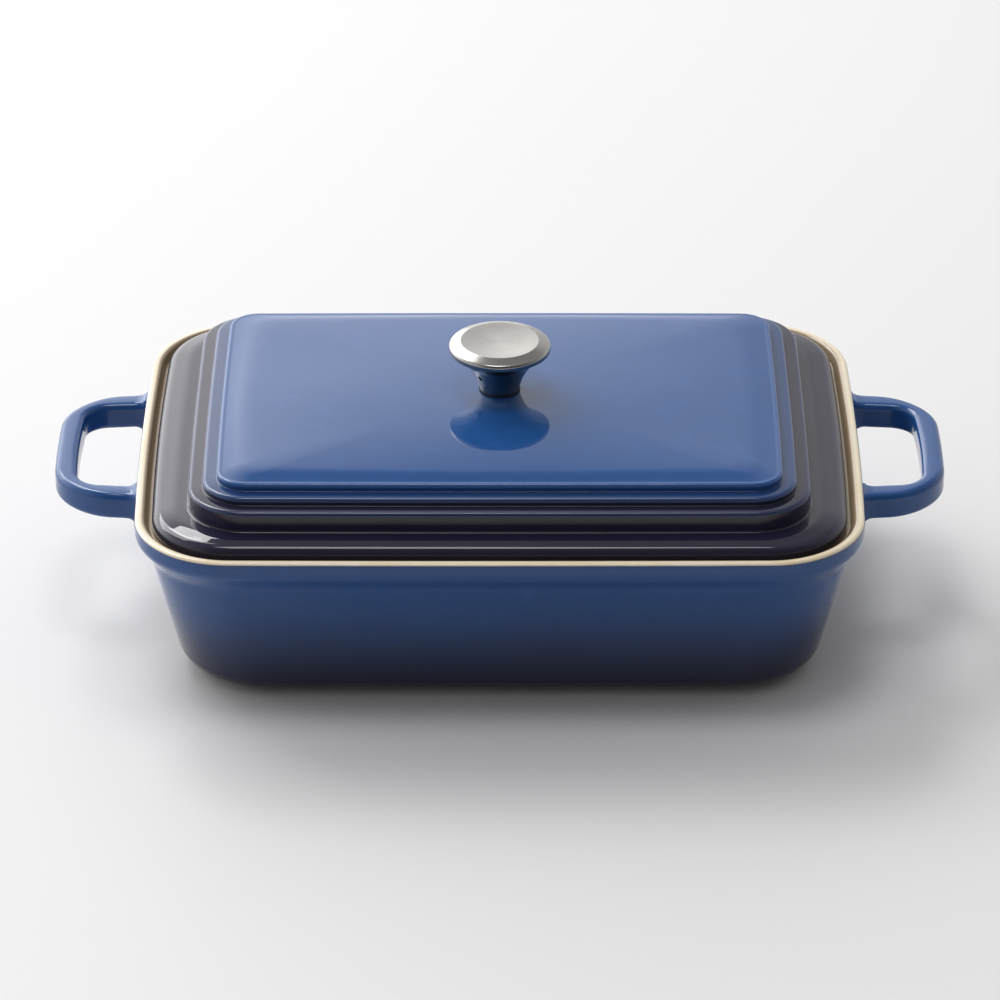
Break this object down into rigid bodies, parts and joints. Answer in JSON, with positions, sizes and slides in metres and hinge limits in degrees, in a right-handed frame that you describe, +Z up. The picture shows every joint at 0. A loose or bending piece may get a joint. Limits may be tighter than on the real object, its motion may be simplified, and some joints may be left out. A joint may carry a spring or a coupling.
{
  "type": "covered casserole dish",
  "caption": "Rectangular glazed stoneware casserole dish with loop handles and a stepped lid lifted by a flared steel knob.",
  "frame": {"origin": "on the table under the middle of the dish", "axes": "+X along the long side, handle to handle, +Y towards the back long side, +Z up"},
  "size_m": [0.3948, 0.229, 0.1267],
  "materials": {
    "dish_glaze": "glossy blue glaze fading to near black at the foot, cream at the rim",
    "lid_glaze": "glossy blue glaze fading to near black at the flange",
    "turned_steel": "satin turned",
    "brushed_steel": "turned, fine circular lines",
    "black_gasket": "matte",
    "plain_steel": "plain",
    "screw_steel": "plain, slotted head",
    "grey_silicone": "matte"
  },
  "bodies": {
    "dish": {"dish": "dish_glaze"},
    "lid": {"lid": "lid_glaze", "knob_body": "turned_steel", "knob_cap": "brushed_steel", "knob_gasket": "black_gasket", "knob_bush": "plain_steel", "knob_screw": "screw_steel", "screw_washer": "plain_steel", "lid_seal": "grey_silicone"}
  },
  "joints": [
    {"name": "lid_lift", "type": "slide", "parent": "dish", "child": "lid", "axis": [0, 0, 1], "range_m": [0, 0.12]}
  ]
}
